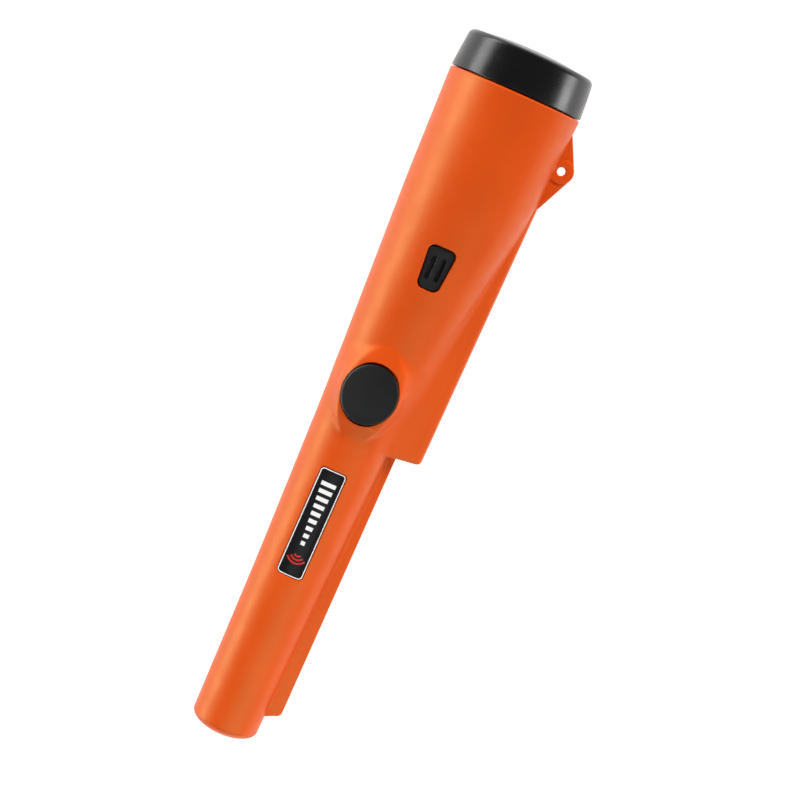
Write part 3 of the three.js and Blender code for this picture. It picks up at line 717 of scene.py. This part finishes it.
def front_shell(skin):
    made = half_of(skin, "front_shell_body", True)
    lips = [(GAP, POCKET_FLOOR_Z), (GAP, BOSS_TOP_Z - 0.75), (GAP + 0.1, BOSS_TOP_Z - 0.4)]
    lips += [(GAP + 0.45, BOSS_TOP_Z), (GAP + 0.5, 25.0)]
    pocket = [ellipse_outline(0, BUTTON_Y, BUTTON_HALF_X + g, BUTTON_HALF_Y + g) for g, _ in lips]
    cut(made, draped("pocket", pocket, [level(z) for _, z in lips], ORANGE, np.array([0, BUTTON_Y]), 2))
    lip = [(GAP, 0.35), (GAP + 0.1, 0.12), (GAP + 0.32, -0.02), (GAP + 0.34, -3.0)]
    window = [grille_outline(GAP), *[grille_outline(g) for g, _ in lip]]
    heights = [level(6.0), *[under_skin(d) for _, d in lip]]
    cut(made, draped("window", window, heights, ORANGE, np.array([GRILLE_X, GRILLE_Y]), 3))
    lip = [(0.12, 0.8), (0.12, 0.2), (0.2, 0.06), (0.34, -0.02), (0.36, -2.0)]
    recess = [label_outline(g) for g, _ in lip]
    cut(made, draped("recess", recess, [under_skin(d) for _, d in lip], ORANGE, np.array([LABEL_X, LABEL_Y])))
    return finished(made, "housing", ["front_shell"])


def blade_part():
    root = 1.2
    corner = (BLADE_EDGE_X - BLADE_CORNER, BLADE_LOW_Y + 1.95 + BLADE_CORNER)
    outline = [(float(body_radius(BLADE_LOW_Y)) - root, BLADE_LOW_Y), (corner[0], BLADE_LOW_Y + 1.9)]
    outline += arc(corner, BLADE_CORNER, -90, 0, 8)
    top = KEEL_STEP_Y + 1.5
    outline += [(BLADE_EDGE_X, top), (float(body_radius(KEEL_STEP_Y)) - root, top)]
    made = slab("blade", [outline], -BLADE_HALF, BLADE_HALF, ORANGE, 0.75, 4)
    thinned_from_x, thinning = 12.0, 0.45
    for vertex in made.data.vertices:
        share = (vertex.co.x - thinned_from_x) / (BLADE_EDGE_X - thinned_from_x)
        vertex.co.z *= 1 - thinning * min(1.0, max(0.0, share))
    return made


def eye_part():
    x, y, radius = 26.6, 209.6, 4.0
    root = CAP_X + float(body_radius(y)) - 1.2
    tip = [(x + radius * 0.86, y - radius * 0.5)] + arc((x, y), radius * 0.995, -30, 30, 8)[1:-1]
    web = [
        (root, 196),
        (root + 1.2, 196),
        *tip,
        (x + radius * 0.86, y + radius * 0.5),
        (root + 1.5, 221.5),
        (root, 221.5),
    ]
    bore, half, edge = 1.35, 1.7, 0.45
    hole = [tuple(p) for p in ellipse_outline(x, y, bore, bore, 40)]
    plate = slab("web", [web, hole], -1.2, 1.2, ORANGE, 0.3, 3)
    profile = [(bore, -half + edge), *arc((bore + edge, -half + edge), edge, 180, 270, 4)]
    profile += arc((radius - edge, -half + edge), edge, 270, 360, 5)
    profile += arc((radius - edge, half - edge), edge, 0, 90, 5)
    profile += arc((bore + edge, half - edge), edge, 90, 180, 4)
    ring = lathe("eye", profile, ORANGE, x=x, z=y, sides=72, axis="Z")
    return joined(plate, ring)


def rear_shell(skin):
    made = half_of(skin, "rear_shell_body", False)
    radius, low, high = LAMP_RADIUS + GAP, KEEL_STEP_Y - 6, KEEL_STEP_Y + 6
    profile = [(0, low), (radius, low), (radius, high), (0, high)]
    hole = lathe("lamp_hole", profile, ORANGE, x=LAMP_X, z=LAMP_Z, sides=48)
    cut(made, hole)
    made = joined(made, blade_part(), eye_part())
    return finished(made, "housing", ["rear_shell"])


# ---------------------------------------------------------------- what shows on the probe


def battery_cap():
    corner = 2.1
    rim, top = 21.85, 20.95
    foot = SHOULDER_Y + GAP
    profile = [(0, 238.7), (2.1, 238.7), (2.3, 238.5), (2.3, 237.6), (2.5, 237.4)]
    profile += [(18.2, 237.4), (18.5, 237.1)]
    profile += [(18.5, foot + 2.8), (18.8, foot + 2.5), (18.8, foot + 0.25), (19.05, foot)]
    profile += arc((rim - 0.35, foot + 0.35), 0.35, 270, 360, 4)
    profile += [(rim - 0.2, foot + 3.2), (rim - 0.47, foot + 6.6)]
    centre = (top - corner, CAP_END_Y - 1 - corner)
    profile += arc(centre, corner, 2, 85, 12)
    profile += [(15.0, CAP_END_Y - 0.62), (12.0, CAP_END_Y - 0.26), (9.0, CAP_END_Y), (0, CAP_END_Y)]
    made = lathe("battery_cap_body", profile, BLACK, sides=192)
    ridge = helix("cap_thread", 18.7, 17.6, THREAD_START_Y + THREAD_PITCH / 2, 1.25, BLACK)
    return finished(joined(made, ridge), "cap", ["battery_cap"])


def button():
    profile = [(0, BUTTON_BASE_Z), (0.985, BUTTON_BASE_Z), (1, BUTTON_BASE_Z + 0.15)]
    profile += [(1, BUTTON_EDGE_Z - 0.75), (0.996, BUTTON_EDGE_Z - 0.5), (0.982, BUTTON_EDGE_Z - 0.25)]
    profile += [(0.955, BUTTON_EDGE_Z - 0.06), (0.915, BUTTON_EDGE_Z + 0.06)]
    rise = BUTTON_CROWN_Z - BUTTON_EDGE_Z - 0.06
    for r in np.linspace(0.86, 0.04, 14):
        profile.append((r, BUTTON_EDGE_Z + 0.06 + rise * (1 - (r / 0.915) ** 2.2)))
    profile += [(0, BUTTON_CROWN_Z)]
    made = lathe("button_cap_body", profile, BUTTON_RUBBER, 0, 0, 160, "Z", (BUTTON_HALF_X, BUTTON_HALF_Y))
    made.data.transform(Matrix.Translation((0, BUTTON_Y, 0)))
    return finished(made, "button", ["button_cap"])


def grille():
    lip = [(0, 2.5), (0, 0.6), (-0.08, 0.38), (-0.3, 0.3)]
    made = draped(
        "speaker_grille_body",
        [grille_outline(g) for g, _ in lip],
        [under_skin(d) for _, d in lip],
        GRILLE_BLACK,
        np.array([GRILLE_X, GRILLE_Y]),
    )
    for side in (-1, 1):
        x = GRILLE_X + side * SLOT_SPACING / 2
        rims = [(0, 3.2), (0, 0.6), (0.06, 0.4), (0.25, 0.28), (0.25, -1.0)]
        outlines = [
            rounded_outline(x, GRILLE_Y, SLOT_WIDTH, SLOT_WIDTH, SLOT_LENGTH, 0.6, g) for g, _ in rims
        ]
        heights = [under_skin(d) for _, d in rims]
        cut(made, draped("slot", outlines, heights, GRILLE_BLACK, np.array([x, GRILLE_Y])))
    return finished(made, "housing", ["speaker_grille"])


def label():
    lip = [(0, 0.5), (0, 0.12), (-0.05, 0.04), (-0.15, 0.0)]
    made = draped(
        "label_plate_body",
        [label_outline(g) for g, _ in lip],
        [under_skin(d) for _, d in lip],
        LABEL_BLACK,
        np.array([LABEL_X, LABEL_Y]),
        12,
    )
    return finished(made, "housing", ["label_plate"])


def strip(outer, inner):
    """Faces between two outlines of equal counts, laid on the label."""
    count = len(outer)
    plan = np.concatenate([outer, inner])
    faces = [(k, (k + 1) % count, count + (k + 1) % count, count + k) for k in range(count)]
    return plan, faces


def patch(left, right, low, high, columns=8, rows=2):
    """A rectangle of the label's plan as a grid."""
    xs, ys = np.linspace(left, right, columns + 1), np.linspace(low, high, rows + 1)
    plan = np.array([(x, y) for y in ys for x in xs])
    faces = []
    for r in range(rows):
        for c in range(columns):
            a = r * (columns + 1) + c
            faces.append((a, a + 1, a + columns + 2, a + columns + 1))
    return plan, faces


def arc_band(x, y, radius, width, start, end, steps=24):
    outer = np.array(arc((x, y), radius + width / 2, start, end, steps))
    inner = np.array(arc((x, y), radius - width / 2, start, end, steps))
    plan = np.concatenate([outer, inner])
    n = steps + 1
    return plan, [(k, k + 1, n + k + 1, n + k) for k in range(steps)]


def printed(name, shapes, material):
    """Thin ink on the label."""
    points, faces, base = [], [], 0
    for plan, shape_faces in shapes:
        points.append(np.column_stack([plan, surface_z(plan[:, 0], plan[:, 1]) + 0.02]))
        faces += [tuple(base + i for i in f) for f in shape_faces]
        base += len(plan)
    made = object_from(name, np.concatenate(points), faces, material)
    bm = bmesh.new()
    bm.from_mesh(made.data)
    bmesh.ops.recalc_face_normals(bm, faces=bm.faces)
    for face in bm.faces:
        if face.normal.z < 0:
            face.normal_flip()
    bm.to_mesh(made.data)
    bm.free()
    solid = made.modifiers.new("ink", "SOLIDIFY")
    solid.thickness = 0.03
    solid.offset = -1
    bake_modifiers(made)
    return finished(made, "housing")


def label_print():
    """A generic picture of a growing signal: waves at the tip end, then bars, in place of any lettering."""
    border = strip(label_outline(-0.12), label_outline(-0.42))
    middle = LABEL_Y
    shapes = [border]
    bars = 9
    for i in range(bars):
        y = middle - 7.5 + i * 2.55
        half = 0.7 + 1.75 * i / (bars - 1)
        shapes.append(patch(LABEL_X - half, LABEL_X + half, y, y + 1.35))
    printed("label_print", shapes, LABEL_WHITE)
    waves = [arc_band(LABEL_X, middle - 10.2, r, 0.55, 215, 325) for r in (1.2, 2.4, 3.6)]
    printed("label_accent", waves, LABEL_RED)


def lamp():
    foot = KEEL_STEP_Y - 0.9
    turns = np.linspace(0.12, math.pi / 2, 12)
    dome = [(LAMP_RADIUS * math.sin(t), foot + LAMP_RADIUS * (1 - math.cos(t))) for t in turns]
    profile = [(0, foot), *dome, (LAMP_RADIUS, foot + 5.0), (LAMP_RADIUS - 0.2, foot + 5.2), (0, foot + 5.2)]
    made = lathe("lamp_body", profile, LENS, x=LAMP_X, z=LAMP_Z, sides=64)
    return finished(made, "housing", ["lamp"])


def seal_ring():
    radius, half, y = 17.6, 0.85, 227.35
    turns = np.linspace(0, 2 * math.pi, 20, endpoint=False)
    section = [(radius + half * math.cos(t), y + half * math.sin(t)) for t in turns]
    made = lathe("cap_o_ring_body", section, RUBBER, sides=128)
    return finished(made, "housing", ["cap_o_ring"])


def neck_thread():
    ridge = helix("neck_thread", NECK_OUTER - 0.3, NECK_OUTER + THREAD_HEIGHT, THREAD_START_Y, 1.5, ORANGE)
    return finished(ridge, "housing")


def pads():
    disc = [(0, 235.2), *arc((12.2, 235.5), 0.3, 270, 360, 3), *arc((12.2, 236.1), 0.3, 0, 90, 3)]
    disc += [(2.1, 236.4), (1.9, 236.6), (1.9, 238.0), (1.7, 238.2), (0, 238.2)]
    finished(lathe("pad_disc_body", disc, WHITE), "pad", ["pad_disc"])
    soft = [(0, 232.2), *arc((11.5, 232.7), 0.5, 270, 360, 4), *arc((11.5, 234.4), 0.5, 0, 90, 4), (0, 234.9)]
    pad = finished(lathe("pressure_pad_body", soft, FOAM), "pad", ["pressure_pad"])
    soft = [(0, 4.4), (3.0, 4.45), *arc((5.6, 5.35), 0.88, 270, 360, 5), *arc((5.6, 7.3), 0.88, 0, 90, 5)]
    soft += [(3.0, 8.19), (0, 8.2)]
    pad = finished(lathe("tip_pad_body", soft, FOAM, x=0), "housing", ["tip_pad"])


def screen():
    """The thin cloth pad behind the grille, its edges pressed down."""
    lip = [(-0.75, 3.3), (-0.55, 3.24), (-0.5, 3.12), (-0.55, 2.98), (-0.8, 2.9)]
    outlines = [grille_outline(g) for g, _ in lip]
    heights = [under_skin(d) for _, d in lip]
    body = draped("speaker_gauze_body", outlines, heights, GAUZE, np.array([GRILLE_X, GRILLE_Y]))
    pad = finished(body, "housing", ["speaker_gauze"])


skin = shell_skin()
front_shell(skin)
rear_shell(skin)
bpy.data.objects.remove(skin, do_unlink=True)
cap = battery_cap()
button()
grille()
label()
label_print()
lamp()
seal_ring()
neck_thread()
pads()
screen()

# ---------------------------------------------------------------- pieces inside

INSIDE = {
    BLACK: [
        "button_stem", "switch_body", "speaker", "controller_chip", "amplifier_chip", "voltage_regulator",
        "connector_plate",
    ],
    WHITE: ["switch_plunger", "coil_former"],
    STEEL: [
        "stem_clip", "speaker_magnet", "board_screw_1", "board_screw_2", "board_screw_3", "crystal",
        "capacitor_1", "capacitor_2", "lamp_lead_1", "lamp_lead_2", "vibration_motor", "battery_stud",
        "battery_socket", "connector_socket", "connector_stud",
    ],
    COPPER: ["coil_winding", "coil_lead_1", "coil_lead_2"],
    RUBBER: ["motor_sleeve", "battery_lead_black"],
    RED_WIRE: ["battery_lead_red"],
    BRASS: ["eccentric_weight"],
    FERRITE: ["ferrite_rod"],
    BOARD: ["circuit_board"],
    JACKET: ["battery"],
}
for material, names in INSIDE.items():
    for name in names:
        node = frame["nodes"][name]
        node.data.materials.clear()
        node.data.materials.append(material)
        weld = node.modifiers.new("weld", "WELD")
        weld.merge_threshold = 0.001 * MM
        edge = node.modifiers.new("edge", "BEVEL")
        edge.width = 0.12 * MM
        edge.segments = 2
        edge.limit_method = "ANGLE"
        edge.angle_limit = math.radians(40)

# ---------------------------------------------------------------- stage, light and camera

floor_mesh = bpy.data.meshes.new("floor")
floor_mesh.from_pydata([(-3, -3, 0), (3, -3, 0), (3, 3, 0), (-3, 3, 0)], [], [(0, 1, 2, 3)])
floor = bpy.data.objects.new("floor", floor_mesh)
bpy.context.scene.collection.objects.link(floor)
paper = moulded("floor_paper", (0.93, 0.93, 0.93), (0.92, 0.92, 0.92), 0.8, 0.05)
paper_shader = paper.node_tree.nodes["Principled BSDF"]
paper_shader.inputs["Emission Color"].default_value = (1, 1, 1, 1)
paper_shader.inputs["Emission Strength"].default_value = 0.85
floor_mesh.materials.append(paper)

# A round backdrop, its sizes in metres. Only the camera sees it, so it gives no light and no reflections.
BACKDROP_RADIUS, BACKDROP_HEIGHT, BACKDROP_SIDES = 2.9, 3, 96
wall_turns = [math.tau * k / BACKDROP_SIDES for k in range(BACKDROP_SIDES)]
wall_ring = [(BACKDROP_RADIUS * math.cos(t), BACKDROP_RADIUS * math.sin(t)) for t in wall_turns]
wall_foot = [(k, (k + 1) % BACKDROP_SIDES) for k in range(BACKDROP_SIDES)]
wall_mesh = bpy.data.meshes.new("wall")
wall_mesh.from_pydata(
    [(x, y, z) for z in (0, BACKDROP_HEIGHT) for x, y in wall_ring],
    [],
    [(a, b, BACKDROP_SIDES + b, BACKDROP_SIDES + a) for a, b in wall_foot],
)
wall = bpy.data.objects.new("wall", wall_mesh)
bpy.context.scene.collection.objects.link(wall)
wall_mesh.materials.append(paper)
wall.visible_diffuse = False
wall.visible_glossy = False
wall.visible_transmission = False
wall.visible_shadow = False


def probe_point(x, y, z):
    return TO_ROW @ Vector((x, y, z))


def softbox(name, place, aim, width, height, power, only=(), reflected=True):
    """A rectangular area light on everything but the floor, or on nothing but the objects in only.

    One that isn't reflected gives light, but doesn't show in glossy surfaces.
    """
    light = bpy.data.lights.new(name, "AREA")
    light.shape = "RECTANGLE"
    light.size, light.size_y = width, height
    light.energy = power
    holder = bpy.data.objects.new(name, light)
    bpy.context.scene.collection.objects.link(holder)
    holder.location = place
    holder.visible_glossy = reflected
    holder.rotation_mode = "QUATERNION"
    holder.rotation_quaternion = (aim - place).to_track_quat("-Z", "Y")
    receivers = bpy.data.collections.new(name + "_receivers")
    for target in only or [floor]:
        receivers.objects.link(target)
    for entry in receivers.collection_objects:
        entry.light_linking.link_state = "INCLUDE" if only else "EXCLUDE"
    holder.light_linking.receiver_collection = receivers


aim = probe_point(4, 150, 8)
softbox("left_light", probe_point(-600, 160, 80), aim, 1.5, 0.28, 7)
softbox("cap_light", probe_point(110, 1550, 700), aim, 1.4, 0.4, 31, reflected=False)
softbox("cap_right_light", probe_point(480, 760, 230), aim, 0.5, 0.3, 2, reflected=False)
softbox("tip_right_light", probe_point(250, -160, 300), aim, 0.45, 0.35, 1.9, reflected=False)
softbox("over_light", probe_point(60, -200, 1000), aim, 0.6, 0.4, 0.45)
softbox("cap_side_light", probe_point(480, 232, 70), probe_point(CAP_X, 232, 0), 0.3, 0.17, 1.1, only=[cap])
softbox("floor_light", probe_point(0, 250, 1500), aim, 1.6, 1.6, 8, only=[floor])

world = bpy.data.worlds.new("studio")
world.use_nodes = True
world.node_tree.nodes["Background"].inputs["Color"].default_value = (1, 1, 1, 1)
world.node_tree.nodes["Background"].inputs["Strength"].default_value = 0.06
bpy.context.scene.world = world
bpy.context.scene.view_settings.view_transform = "Standard"

CAMERA_PLACE = (-4.5, 211.4, 692.3)
CAMERA_AIM = (9.6, 123.2, 0.0)
CAMERA_ROLL = math.radians(24)
FOCAL_SHARE = 2.748  # focal length over the frame's width
camera_data = bpy.data.cameras.new("camera")
camera_data.sensor_width = 36
camera_data.lens = camera_data.sensor_width * FOCAL_SHARE
camera_data.clip_start, camera_data.clip_end = 0.01, 20
camera = bpy.data.objects.new("camera", camera_data)
bpy.context.scene.collection.objects.link(camera)
place, target = probe_point(*CAMERA_PLACE), probe_point(*CAMERA_AIM)
forward = (target - place).normalized()
right = forward.cross(along).normalized()
up = right.cross(forward).normalized()
up_rolled = up * math.cos(CAMERA_ROLL) - right * math.sin(CAMERA_ROLL)
right_rolled = right * math.cos(CAMERA_ROLL) + up * math.sin(CAMERA_ROLL)
turned = Matrix((right_rolled, up_rolled, -forward)).transposed().to_4x4()
camera.matrix_world = Matrix.Translation(place) @ turned
bpy.context.scene.camera = camera
